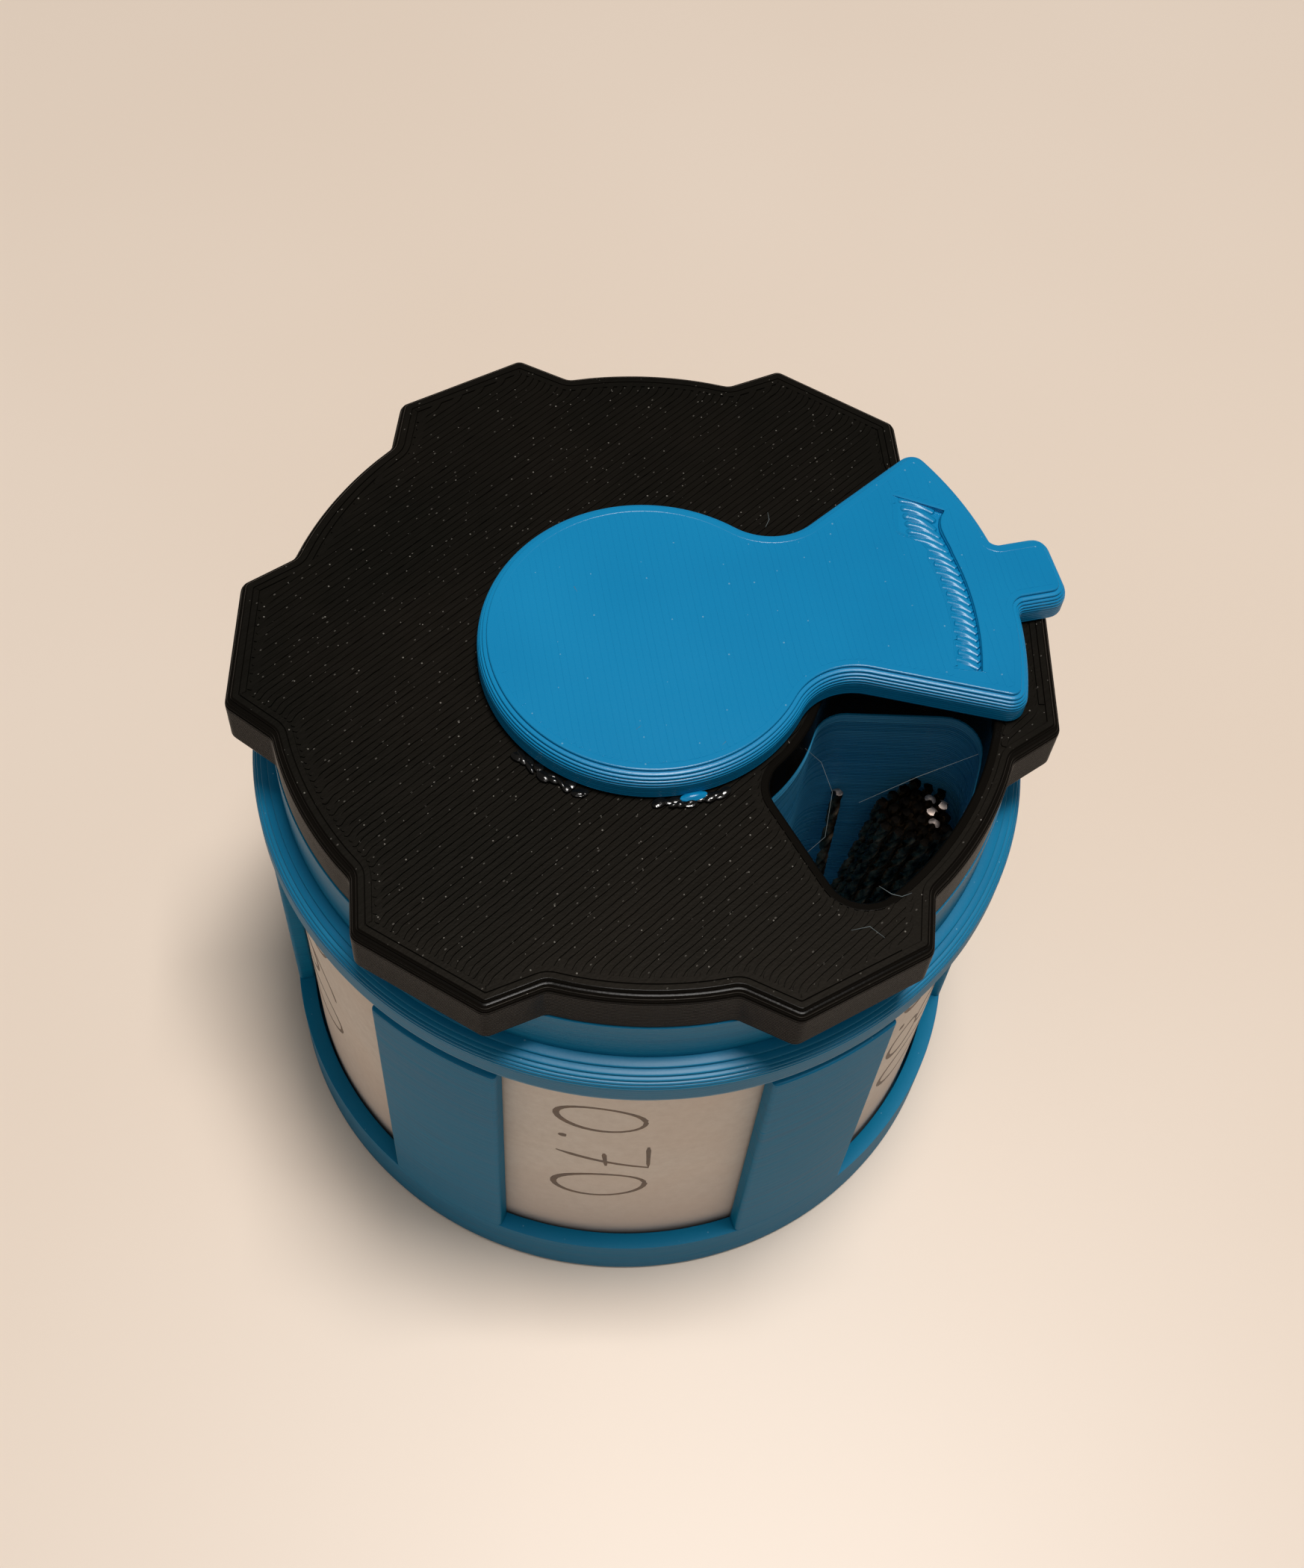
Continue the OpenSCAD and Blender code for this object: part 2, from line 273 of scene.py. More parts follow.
# ---- meshes ----
class Skin:
    """Vertices in millimetres and faces of one piece, each face with its material's number."""

    def __init__(self):
        self.verts, self.faces, self.mats, self.smooth = [], [], [], []
        self.is_smooth = True

    def ring(self, points):
        start = len(self.verts)
        self.verts += [tuple(map(float, p)) for p in points]
        return list(range(start, len(self.verts)))

    def face(self, corners, mat=0):
        self.faces.append(tuple(corners))
        self.mats.append(mat)
        self.smooth.append(self.is_smooth)

    def bridge(self, low, high, mat=0, closed=True):
        n = len(low)
        for i in range(n if closed else n - 1):
            j = (i + 1) % n
            self.face((low[i], low[j], high[j], high[i]), mat)

    def walls(self, rings, mat=0, closed=True):
        for low, high in zip(rings, rings[1:]):
            self.bridge(low, high, mat, closed)

    def loft(self, rings, mat=0):
        """Closed body through rings, with a face at both ends."""
        self.face(rings[0][::-1], mat)
        self.walls(rings, mat)
        self.face(rings[-1], mat)

    def cap(self, loops, mat=0):
        """Flat face inside the first loop, with the others as its holes."""
        order = [i for loop in loops for i in loop]
        flat = [[Vector((*self.verts[i][:2], 0)) for i in loop] for loop in loops]
        for tri in tessellate_polygon(flat):
            self.face([order[k] for k in tri], mat)


def sunk(x, y, z, rough):
    """How far the wall's line at height z stands back at (x, y), up to rough."""
    layer = floor(z / LAYER)
    return abs(rough * noise.noise(Vector((x * 0.35, y * 0.35, layer * 6.3))))


def printed_wall(skin, outline, rows, mat=0, rough=WALL_ROUGH, sign=1, flat_mat=None):
    """Rings of the outline at rows of (height, inset), bridged; returns the first and last.

    The level top of a printed line takes flat_mat where one is given.
    """
    rings = []
    out = unit_normals(outline()) * sign
    for z, d in rows:
        flat = outline(sign * d)
        push = np.array([sunk(x, y, z, rough) for x, y in flat])
        rings.append(skin.ring([(x, y, z) for x, y in flat - out * push[:, None]]))
    for i, (low, high) in enumerate(zip(rings, rings[1:])):
        level = flat_mat is not None and rows[i][0] == rows[i + 1][0]
        skin.bridge(low, high, flat_mat if level else mat)
    return rings[0], rings[-1]


def round_wall(skin, rows, rough):
    """Printed wall around the axis at rows of (height, radius); returns the first and last ring."""
    rings = []
    for z, r in rows:
        rings.append(skin.ring([(*(p * (r - sunk(p[0] * 25, p[1] * 25, z, rough))), z) for p in circle(1)]))
    skin.walls(rings)
    return rings[0], rings[-1]


def smooth_wall(skin, r, low, high, n=64):
    """Plain round wall around the axis, for a bore or a stem; returns its two rings."""
    return printed_wall(skin, fixed(circle(r, n)), [(low, 0), (high, 0)], rough=0)


def unit_normals(points):
    """Outward directions at the points of an anticlockwise outline."""
    return -to_left(units(np.roll(points, -1, axis=0) - np.roll(points, 1, axis=0)))


# one layer's outer face, as (share of its height, inset)
LAYER_FACE = [(0.0, GROOVE), (0.14, 0.008), (0.4, 0.0), (0.68, 0.01), (0.86, 0.036), (1.0, 0.085)]


def layers(low, high, edge=()):
    """(height, inset) rows of a printed wall; edge gives the insets of its top layers."""
    count = max(1, round((high - low) / LAYER))
    h = (high - low) / count
    rows = []
    for k in range(count):
        z = low + k * h
        at_edge = k - count + len(edge)
        if at_edge < 0:
            rows += [(z, GROOVE), (z + h / 2, 0)]
        else:
            rows += [(z + h * up, edge[at_edge] + inward) for up, inward in LAYER_FACE]
    if not edge:
        rows.append((high, GROOVE))
    return rows


def round_edge(width, height):
    """Insets of the layers that round an edge, as an elliptical quarter."""
    count = round(height / LAYER)
    mids = [(k + 0.5) / count for k in range(count)]
    return [width * (1 - sqrt(1 - m * m)) for m in mids]


def outline_line(top, start, depth):
    """Rows that go on from an edge over a flat top: one line, then down to the filling's bed."""
    end = start + LINE
    return [(top - 0.014, start), (top - 0.003, start + 0.02), (top, start + 0.045), (top, start + 0.07),
            (top, end - 0.07), (top, end - 0.045), (top - 0.003, end - 0.02), (top - depth, end)]


def bead(skin, path, widths, place, height, sink, mat, bevel):
    """Low closed ridge along a path; place maps (x, y, height) to the object's frame."""
    path = np.asarray(path, float)
    left = to_left(units(np.gradient(path, axis=0)))
    rings = []
    for p, n, (wl, wr) in zip(path, left, widths):
        cl, cr = max(wl - bevel, wl * 0.4), max(wr - bevel, wr * 0.4)
        corners = [(p + n * wl, -sink), (p + n * cl, height), (p - n * cr, height), (p - n * wr, -sink)]
        rings.append(skin.ring([place(q[0], q[1], h) for q, h in corners]))
    skin.loft(rings, mat)


def tube(skin, path, radius, mat, sides):
    """Closed round thread along 3-D points, thinner at both ends."""
    points = [Vector(p) for p in path]
    rings = []
    for i, p in enumerate(points):
        ahead = (points[min(i + 1, len(points) - 1)] - points[max(i - 1, 0)]).normalized()
        if i == 0:
            across = ahead.orthogonal().normalized()
        else:
            across = (across - ahead * across.dot(ahead)).normalized()
        other = ahead.cross(across)
        taper = 0.45 if i in (0, len(points) - 1) else 1.0
        rings.append(skin.ring([p + (across * cos(t) + other * sin(t)) * radius * taper
                                for t in [2 * pi * k / sides for k in range(sides)]]))
    skin.loft(rings, mat)


def thread(skin, points, z, radius, mat):
    """Fine printed thread that lies level at height z."""
    tube(skin, [(x, y, z) for x, y in points], radius, mat, 5)


def crossings(loop, y):
    """Pairs of places where the line at height y enters and leaves a loop."""
    after = np.roll(loop, -1, axis=0)
    hit = (loop[:, 1] > y) != (after[:, 1] > y)
    p, q = loop[hit], after[hit]
    xs = sorted(p[:, 0] + (y - p[:, 1]) * (q[:, 0] - p[:, 0]) / (q[:, 1] - p[:, 1]))
    return list(zip(xs[::2], xs[1::2]))


def spans(outer, holes, y):
    """Parts of the line at height y that lie inside the outer loop and outside the holes."""
    left = crossings(outer, y)
    for hole in holes:
        for a, b in crossings(hole, y):
            left = [part for x0, x1 in left for part in ((x0, min(x1, a)), (max(x0, b), x1))
                    if part[1] > part[0]]
    return left


def fill_lines(skin, loops, angle, top, depth, gap, seed, share, mat=0, station=0.45, ends=0.8):
    """Fills a flat top with straight printed lines between the loops, down to the bed.

    share tells how open the gaps are at (x, y), and ends how open they are at a line's free end.
    """
    flat = [turned(loop, -angle) for loop in loops]
    low, high = flat[0][:, 1].min(), flat[0][:, 1].max()
    c, s = direction(angle)
    skin.is_smooth = False
    near = [0, 0.05, 0.14, 0.3, 0.55]  # stations near both ends of a line, where it bends
    plain = 0.8
    for k in range(ceil(low / LINE), floor(high / LINE) + 1):
        y = k * LINE
        level = -0.003 - 0.012 * (k * 0.618 % 1)
        for x0, x1 in spans(flat[0], flat[1:], y):
            if x1 - x0 < 2 * LINE:
                continue
            count = max(1, round((x1 - x0 - 1.2) / station))
            middle = list(np.linspace(x0 + plain, x1 - plain, count + 1)) if x1 - x0 > 2.2 else []
            stations = sorted([x0 + e for e in near] + middle + [x1 - e for e in near])
            widths = []
            for x in stations:
                open_share = share(x * c - y * s, x * s + y * c)
                widths.append([side_width(side, x - x0, x1 - x, x, gap, seed, open_share, ends)
                               for side in (k, k - 1)])
            path = [(x, y + ends * (hook(x1 - x) - hook(x - x0))) for x in stations]
            bead(skin, path, widths, lambda u, v, h: (u * c - v * s, u * s + v * c, top + h),
                 level, depth + 0.015, mat, 0.025)
    skin.is_smooth = True


def hook(e):
    """Sideways bend of a line at distance e from its end, where it meets the outline lines."""
    reach, size = 0.9, 0.36
    return size * max(0, 1 - e / reach) ** 2


def side_width(gap_index, left, right, x, gap, seed, share, ends):
    """Half width of a line on the side of one gap. Each gap is shut by a turn at one end."""
    even = gap_index % 2 == 0
    shut, free = (right, left) if even else (left, right)
    shut_reach, free_reach, turn_round = 0.6, 1.1, 0.3
    pair = 0.45 if even else -0.3  # every second gap is the more open one
    opened = share + pair + 3.0 * noise.noise(Vector((x * 1.25, gap_index * 5.3, seed)))
    opened = min(1, max(0, opened))
    if shut < shut_reach:
        opened *= shut / shut_reach
    if free < free_reach:
        opened = max(opened, ends * min(1, max(0, share + 1)))
    width = LINE / 2 + 0.003 - gap / 2 * opened
    if free < turn_round:
        width -= 0.6 * ends * (turn_round - sqrt(turn_round ** 2 - (turn_round - free) ** 2))
    return max(width, 0.04)


CREASE = 38  # angle from which an edge is drawn sharp


def add_object(name, data):
    obj = bpy.data.objects.new(name, data)
    bpy.context.scene.collection.objects.link(obj)
    return obj


def piece(name, skin, materials, body, stands_for):
    """Makes a mesh object from a skin, riding on a CAD body in place of CAD nodes."""
    mesh = bpy.data.meshes.new(name)
    mesh.from_pydata([(x * MM, y * MM, z * MM) for x, y, z in skin.verts], [], skin.faces)
    for material in materials:
        mesh.materials.append(material)
    mesh.polygons.foreach_set("material_index", skin.mats)
    mesh.polygons.foreach_set("use_smooth", skin.smooth)
    work = bmesh.new()
    work.from_mesh(mesh)
    bmesh.ops.remove_doubles(work, verts=work.verts, dist=2e-7)
    bmesh.ops.recalc_face_normals(work, faces=work.faces)
    work.to_mesh(mesh)
    work.free()
    mesh.set_sharp_from_angle(angle=radians(CREASE))
    obj = add_object(name, mesh)
    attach(obj, body)
    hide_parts(*stands_for)


# ---- materials ----
def srgb(r, g, b):
    """Linear colour of an sRGB colour given in 0 to 255."""
    def linear(c):
        c = c / 255
        return c / 12.92 if c <= 0.04045 else ((c + 0.055) / 1.055) ** 2.4
    return (linear(r), linear(g), linear(b), 1)


class Graph:
    """Short way to write a material's nodes."""

    def __init__(self, name):
        self.material = bpy.data.materials.new(name)
        self.material.use_nodes = True
        self.tree = self.material.node_tree
        self.shader = self.tree.nodes["Principled BSDF"]
        self.coords = self.add("TexCoord").outputs["Object"]

    def add(self, kind, settings=None, **inputs):
        node = self.tree.nodes.new("ShaderNode" + kind)
        for key, value in (settings or {}).items():
            setattr(node, key, value)
        for key, value in inputs.items():
            self.put(node.inputs[key.replace("_", " ")], value)
        return node

    def put(self, socket, value):
        if isinstance(value, bpy.types.NodeSocket):
            self.tree.links.new(value, socket)
        else:
            socket.default_value = value

    def finish(self, colour, roughness, normal=None, **more):
        """Sets the shader's inputs and returns the material; _ in a name stands for a space."""
        self.put(self.shader.inputs["Base Color"], colour)
        self.put(self.shader.inputs["Roughness"], roughness)
        if normal is not None:
            self.put(self.shader.inputs["Normal"], normal)
        for key, value in more.items():
            self.put(self.shader.inputs[key.replace("_", " ")], value)
        return self.material

    def math(self, kind, a, b=0.0):
        node = self.add("Math", {"operation": kind})
        self.put(node.inputs[0], a)
        self.put(node.inputs[1], b)
        return node.outputs[0]

    def height(self, coords):
        return self.add("SeparateXYZ", Vector=coords).outputs["Z"]

    def noise(self, coords, scale, detail=2.0, rough=0.5):
        return self.add("TexNoise", Vector=coords, Scale=scale, Detail=detail,
                        Roughness=rough).outputs["Fac"]

    def stretch(self, sx=1, sy=1, sz=1, turn=0):
        """Coordinates in millimetres, turned about Z and then scaled."""
        node = self.add("Mapping", Vector=self.coords)
        node.inputs["Rotation"].default_value = (0, 0, -radians(turn))
        first = node.outputs[0]
        node = self.add("Mapping", Vector=first)
        node.inputs["Scale"].default_value = (sx / MM, sy / MM, sz / MM)
        return node.outputs[0]

    def spots(self, coords, per_mm, radius, share):
        """Small round spots seen from above; share is the part of the cells that has one."""
        node = self.add("TexVoronoi", {"voronoi_dimensions": "2D"}, Vector=coords, Scale=per_mm)
        chance = self.add("SeparateColor", Color=node.outputs["Color"]).outputs[0]
        size = self.ramp(chance, 1 - share, 1, radius * per_mm * 0.4, radius * per_mm)
        size = self.math("MULTIPLY", size, self.math("GREATER_THAN", chance, 1 - share))
        return self.math("LESS_THAN", node.outputs["Distance"], size)

    def facing_up(self):
        """1 on faces that look up, 0 on the others."""
        return self.ramp(self.height(self.add("NewGeometry").outputs["True Normal"]), 0.8, 0.95)

    def ramp(self, value, low, high, a=0.0, b=1.0):
        return self.add("MapRange", Value=value, From_Min=low, From_Max=high, To_Min=a,
                        To_Max=b).outputs["Result"]

    def mix(self, factor, a, b):
        node = self.add("Mix", {"data_type": "RGBA"})
        self.put(node.inputs[0], factor)
        self.put(node.inputs[6], a)
        self.put(node.inputs[7], b)
        return node.outputs[2]

    def bump(self, height, distance, strength=1.0, normal=None):
        node = self.add("Bump", Height=height, Distance=distance * MM, Strength=strength)
        if normal is not None:
            self.put(node.inputs["Normal"], normal)
        return node.outputs["Normal"]


def printed_plastic(name, colours, speck, roughness, spread, wall_lines, specular=0.4):
    """Printed plastic: streaks that follow the layers, uneven gloss, dust and fine grain."""
    g = Graph(name)
    base, light, dark = [srgb(*c) for c in colours]
    mm = g.stretch()
    z = g.height(mm)
    layer = g.math("FLOOR", g.math("DIVIDE", z, LAYER))
    streak_at = g.add("CombineXYZ", X=0.0, Y=0.0, Z=g.math("MULTIPLY", layer, 0.77)).outputs[0]
    place = g.add("VectorMath", {"operation": "ADD"})
    g.put(place.inputs[0], g.stretch(0.03, 0.03, 0))
    g.put(place.inputs[1], streak_at)
    streak = g.noise(place.outputs[0], 1.0, 3.0, 0.6)
    patch = g.noise(mm, 0.12, 3.0, 0.55)
    colour = g.mix(g.ramp(streak, 0.32, 0.68), dark, light)
    colour = g.mix(g.ramp(patch, 0.3, 0.7, 0.25, 0.75), colour, base)
    dust = g.math("MULTIPLY", g.spots(mm, 0.6, 0.06, 0.35), g.facing_up())
    colour = g.mix(g.math("MULTIPLY", dust, 0.35), colour, srgb(*speck))
    gloss = g.ramp(streak, 0.3, 0.7, roughness - spread, roughness + spread)
    wave = g.math("SINE", g.math("MULTIPLY", z, 2 * pi / LAYER))
    normal = g.bump(wave, wall_lines)
    normal = g.bump(g.noise(mm, 5.0, 2.0, 0.6), 0.01, 0.5, normal)
    normal = g.bump(g.noise(mm, 0.5), 0.03, 0.4, normal)
    return g.finish(colour, gloss, normal, Specular_IOR_Level=specular)


def black_top(turn):
    """Black top of the lid: painted glints in rows along the printed lines, and small dust specks."""
    g = Graph("black_top")
    mm = g.stretch()
    along = g.stretch(0.9, 4.5, 1, turn)
    # painted highlight: bright dashes along the lines stand for glints at the edges of their gaps
    painted_glint = g.math("MULTIPLY", g.spots(g.stretch(0.62, 1, 1, turn), 1.5, 0.05, 0.4), 0.4)
    spot = g.spots(mm, 0.8, 0.055, 0.4)
    shine = g.math("MULTIPLY", g.math("MAXIMUM", painted_glint, spot), g.facing_up())
    patch = g.ramp(g.noise(mm, 0.1, 3.0), 0.35, 0.65)
    colour = g.mix(patch, srgb(8, 8, 6), srgb(14, 12, 9))
    # painted glints and dust lighten the colour on the faces that look up
    colour = g.mix(g.math("MULTIPLY", shine, 0.28), colour, srgb(190, 185, 175))
    gloss = g.ramp(g.noise(along, 0.8, 3.0, 0.6), 0.3, 0.7, 0.36, 0.46)
    normal = g.bump(g.noise(mm, 6.0, 2.0, 0.6), 0.01, 0.6)
    normal = g.bump(g.noise(along, 1.0), 0.015, 0.5, normal)
    return g.finish(colour, gloss, normal, Specular_IOR_Level=0.1, Specular_Tint=(1.0, 0.88, 0.74, 1))


def cloudy_material(name, dark, light, gloss, scale, rough=0.6, blend=(0.3, 0.7), bump=0):
    """Plain material whose colour and gloss vary in clouds."""
    g = Graph(name)
    cloud = g.noise(g.stretch(), scale, 3.0, rough)
    colour = g.mix(g.ramp(cloud, *blend), srgb(*dark), srgb(*light))
    return g.finish(colour, g.ramp(cloud, 0.3, 0.7, *gloss), g.bump(cloud, bump, 0.5) if bump else None)


def thread_material():
    g = Graph("drawn_thread")
    shade = g.noise(g.stretch(), 3.0)
    return g.finish(g.mix(shade, srgb(70, 78, 80), srgb(120, 130, 132)), 0.35)


def paper_material():
    """Paper with painted shade that darkens it towards its foot, and a painted blue reflection of the sill
    at the foot.
    """
    g = Graph("card_paper")
    mm = g.stretch()
    fibre = g.noise(mm, 1.4, 5.0, 0.65)
    cloud = g.noise(mm, 0.12)
    colour = g.mix(g.ramp(fibre, 0.3, 0.7), srgb(214, 203, 192), srgb(226, 217, 207))
    colour = g.mix(g.ramp(cloud, 0.35, 0.65, 0, 0.4), colour, srgb(219, 200, 184))
    z = g.height(mm)
    # painted shade: the paper grows darker towards its foot
    colour = g.mix(g.ramp(z, CARD_Z + 2, CARD_Z + 15, 0.5, 0), colour, srgb(172, 158, 152))
    # painted shade and painted blue reflection of the sill, just above the sill
    colour = g.mix(g.ramp(z, CARD_Z, CARD_Z + 3.5, 0.6, 0), colour, srgb(110, 128, 140))
    return g.finish(colour, g.ramp(fibre, 0.3, 0.7, 0.78, 0.92), g.bump(fibre, 0.02, 0.5))


def metal_material(name, dark, light, roughness, grain, stretch_z=1):
    """Metal with colour and gloss that vary over its length."""
    g = Graph(name)
    mm = g.stretch(1, 1, stretch_z)
    patch = g.noise(mm, grain, 4.0, 0.6)
    colour = g.mix(g.ramp(patch, 0.35, 0.7), srgb(*dark), srgb(*light))
    gloss = g.ramp(patch, 0.3, 0.7, roughness, roughness + 0.18)
    normal = g.bump(g.noise(mm, grain * 5, 2.0, 0.6), 0.006, 0.6)
    return g.finish(colour, gloss, normal, Metallic=1.0)


# ---- printed parts ----
def open_front(x, y):
    """How open the gaps in the lid's filling are: most of them at the front, few elsewhere."""
    front = min(0.35, max(-1.4, -(y + 7 - 0.45 * x) / 13))
    return 0.15 + front - 0.25 * max(0, x - 13)


SHOWN_ANGLE = FIRST_WINDOW + SECTOR * SHOWN
LID_BED = 0.1  # depth of the bed under the lid's top lines


def lid_skin():
    """Lid with a stepped upper edge, outline lines and a filling of straight lines."""
    skin = Skin()
    outline = Outline(lid_outline, 1.2)
    opening = fixed(turned(pocket_outline(), SHOWN_ANGLE), 1.0)
    edge = round_edge(0.8, 0.8)
    start, lip = edge[-1] + 0.1, 0.1
    rows = layers(LID_Z, LID_TOP, edge) + outline_line(LID_TOP, start, LID_BED)
    outer_low, outer_high = printed_wall(skin, outline, rows, flat_mat=1)
    rows = layers(LID_Z, LID_TOP, [0]) + outline_line(LID_TOP, lip, LID_BED)
    hole_low, hole_high = printed_wall(skin, opening, rows, sign=-1)
    bore_low, bore_high = smooth_wall(skin, BORE_R, LID_Z, LID_TOP - LID_BED)
    skin.cap([outer_high, hole_high, bore_high], 1)
    skin.cap([outer_low, hole_low, bore_low])
    add_second_line(skin, outline(start + 1.5 * LINE))
    loops = [outline(start + 2 * LINE + 0.02), opening(-lip - LINE - 0.02), fixed(circle(BORE_R, 64))(-1)]
    fill_lines(skin, loops, 45, LID_TOP, LID_BED, 0.065, 11, open_front, mat=1)
    add_lid_threads(skin, 2)
    return skin


def add_second_line(skin, loop):
    """Second outline line of the lid, which stops where the opening leaves no room for it."""
    half = 22
    turns = [(angle_of(p) - SHOWN_ANGLE) % 360 for p in loop]
    kept = sorted([(a, i) for i, a in enumerate(turns) if half < a < 360 - half])
    path = [loop[i] for a, i in kept]
    width = LINE / 2 - 0.012
    bead(skin, path, [(width, width)] * len(path), lambda u, v, h: (u, v, LID_TOP + h), -0.004,
         LID_BED + 0.01, 1, 0.03)


# marks at the hub's foot, and fine threads that the printer drew
GLUE_ARCS = [(-134, -110), (-85, -64)]  # angles around the hub
GLUE_R = 10.85
DROPS = 14  # drops of glue in each arc
BLUE_RUN = (2.85, -10.35)
STRING = [(12.81, -9.93), (16.55, -7.95), (20.34, -6.21)]
HAIR = [(9.95, -5.1), (10.92, -6.1), (11.52, -8.23), (10.93, -11.4), (9.2, -13.1)]
LID_THREADS = [[(7.64, 10.34), (7.9, 10.98), (7.82, 11.59)],
               [(11.83, -18.84), (12.92, -18.56), (13.74, -19.25)],
               [(13.6, -15.9), (14.3, -16.4), (14.9, -16.55), (15.5, -16.3)]]
SHUTTER_THREADS = [[(-4.82, 3.57), (-4.6, 3.2), (-4.34, 2.67)],
                   [(4.29, -8.12), (4.74, -7.58), (4.75, -7.32)],
                   [(-0.78, -7.17), (-0.5, -6.9), (-0.35, -6.73)]]


def drop(skin, place, size, height, mat, turn):
    """Low dome; size is its half length and half width."""
    angles = [2 * pi * k / 12 for k in range(12)]
    rings = []
    for lift, share in ((-0.02, 1.0), (0.35, 0.95), (0.75, 0.7), (1.0, 0.3)):
        flat = [(share * size[0] * cos(a), share * size[1] * sin(a)) for a in angles]
        z = place[2] + lift * height
        rings.append(skin.ring([(place[0] + x, place[1] + y, z) for x, y in turned(flat, turn)]))
    skin.loft(rings, mat)


def add_glue(skin, mat):
    """Drops of glue at the hub's foot, which turn with the hub and clear the lid."""
    chance = random.Random(5)
    for start, end in GLUE_ARCS:
        for k in range(DROPS):
            a = start + (end - start) * k / (DROPS - 1) + chance.uniform(-1, 1)
            x, y = (GLUE_R + chance.uniform(-0.15, 0.25)) * direction(a)
            size = (chance.uniform(0.3, 0.6), chance.uniform(0.15, 0.34))
            height = chance.uniform(0.06, 0.16)
            drop(skin, (x, y, SHUTTER_Z), size, height, mat, a + 90 + chance.uniform(-30, 30))


def add_lid_threads(skin, mat):
    """A thread across the opening, a hair in it and three loose threads on the lid."""
    thread(skin, STRING, LID_TOP - 0.6, 0.018, mat)
    thread(skin, HAIR, LID_TOP - 2.3, 0.014, mat)
    for line in LID_THREADS:
        thread(skin, line, LID_TOP + 0.015, 0.022, mat)


# finger scoop in the fan's frame: the edges of its wide end, and the arcs that follow
SCOOP_WIDE_IN = [(18.21, 6.83), (17.94, 5.94), (17.63, 4.94), (17.35, 3.94), (18.04, 3.34),
                 (18.77, 2.73), (18.95, 2.1)]
SCOOP_WIDE_OUT = [(21.1, 4.85), (20.75, 4.5), (20.5, 4.0), (20.4, 3.5), (20.4, 3.0), (20.42, 2.5),
                  (20.46, 2.0)]
SCOOP_IN_R, SCOOP_OUT_R = 18.78, 20.5
SCOOP_END = -21.6
SCOOP_DEPTH, SCOOP_LIP = 0.38, 0.03
SCOOP_FOOT = 0.96  # share of the way across at which the outer wall starts
SCOOP_ROWS, SCOOP_COLUMNS = 88, 8
RIDGES, WIDE_RIDGES = 16, 6  # printed lines on its floor, and more of them in its wide end
RIDGE_R = 0.33


def scoop_edges(wider=0.0):
    """Inner and outer edge of the scoop from its wide end, or lines outside them by wider."""
    near = 0.12 * wider  # the inner edge keeps hardly any rim
    inner = [p + np.array([-near, wider if i == 0 else 0]) for i, p in enumerate(np.array(SCOOP_WIDE_IN))]
    outer = [p + wider * np.array([0.2, 0.8] if i == 0 else [1, 0])
             for i, p in enumerate(np.array(SCOOP_WIDE_OUT))]
    end = SCOOP_END - degrees(0.05 * wider / SCOOP_IN_R)
    return (inner + arc(SCOOP_IN_R - near, 4.4, end, 16), outer + arc(SCOOP_OUT_R + wider, 4.0, end, 16))


def along(points, s):
    """Place at the share s of a line's points."""
    at = s * (len(points) - 1)
    k = min(int(at), len(points) - 2)
    return points[k] + (points[k + 1] - points[k]) * (at - k)


def scoop_lines(wider=0.0):
    """Pairs of places on the inner and the outer edge, from the wide end on."""
    inner, outer = scoop_edges(wider)
    return [(along(inner, i / SCOOP_ROWS), along(outer, i / SCOOP_ROWS)) for i in range(SCOOP_ROWS + 1)]


def scoop_loop(wider):
    """Anticlockwise loop outside the scoop's edge by wider."""
    lines = scoop_lines(wider)
    shares = [SCOOP_FOOT * (k + 1) / SCOOP_COLUMNS for k in range(SCOOP_COLUMNS)]
    (near_0, far_0), (near_1, far_1) = lines[0], lines[-1]
    loop = [near for near, far in lines] + [near_1 + (far_1 - near_1) * t for t in shares]
    loop += [far for near, far in reversed(lines)]
    return np.array(loop + [near_0 + (far_0 - near_0) * t for t in reversed(shares)])


def add_scoop(skin, top, bed, place):
    """Finger scoop with curved ridges and a rim line; returns the loop for the hole in the bed."""
    grid = []
    for near, far in scoop_lines():
        row = []
        for k in range(SCOOP_COLUMNS + 1):
            p = near + (far - near) * SCOOP_FOOT * k / SCOOP_COLUMNS
            depth = SCOOP_LIP + (SCOOP_DEPTH - SCOOP_LIP) * (k / SCOOP_COLUMNS) ** 0.7
            row.append((*place(p[0], p[1]), top - depth))
        grid.append(skin.ring(row + [(*place(far[0], far[1]), top - SCOOP_LIP)]))
    skin.walls(grid, closed=False)
    last = [row[0] for row in grid] + grid[-1][1:] + [row[-1] for row in reversed(grid[:-1])]
    last += grid[0][-2:0:-1]
    for wider, depth in ((0.02, 0.012), (0.07, 0), (LINE - 0.06, 0), (LINE - 0.02, 0.004), (LINE, bed)):
        ring = skin.ring([(*place(p[0], p[1]), top - depth) for p in scoop_loop(wider)])
        skin.bridge(last, ring)
        last = ring
    for i in range(-WIDE_RIDGES, RIDGES):
        add_ridge(skin, *ridge_ends(i), top, place)
    return last


def ridge_ends(i):
    """Where ridge i starts at the scoop's inner edge and ends at the outer one.

    Ridges below 0 stand in the wide end.
    """
    end_a = 2.9 - 1.72 * i + 0.01 * i * i
    if i < 0:
        return ((18.0 - 0.23 * i) * direction(end_a + 6.0),
                (SCOOP_OUT_R - 0.1 + 0.35 * max(0, -i - 4)) * direction(end_a))
    start_r = SCOOP_IN_R + 0.07 - 0.17 * (i % 2)
    return start_r * direction(end_a + 4.1 - 0.18 * i), (SCOOP_OUT_R - 0.13) * direction(end_a)


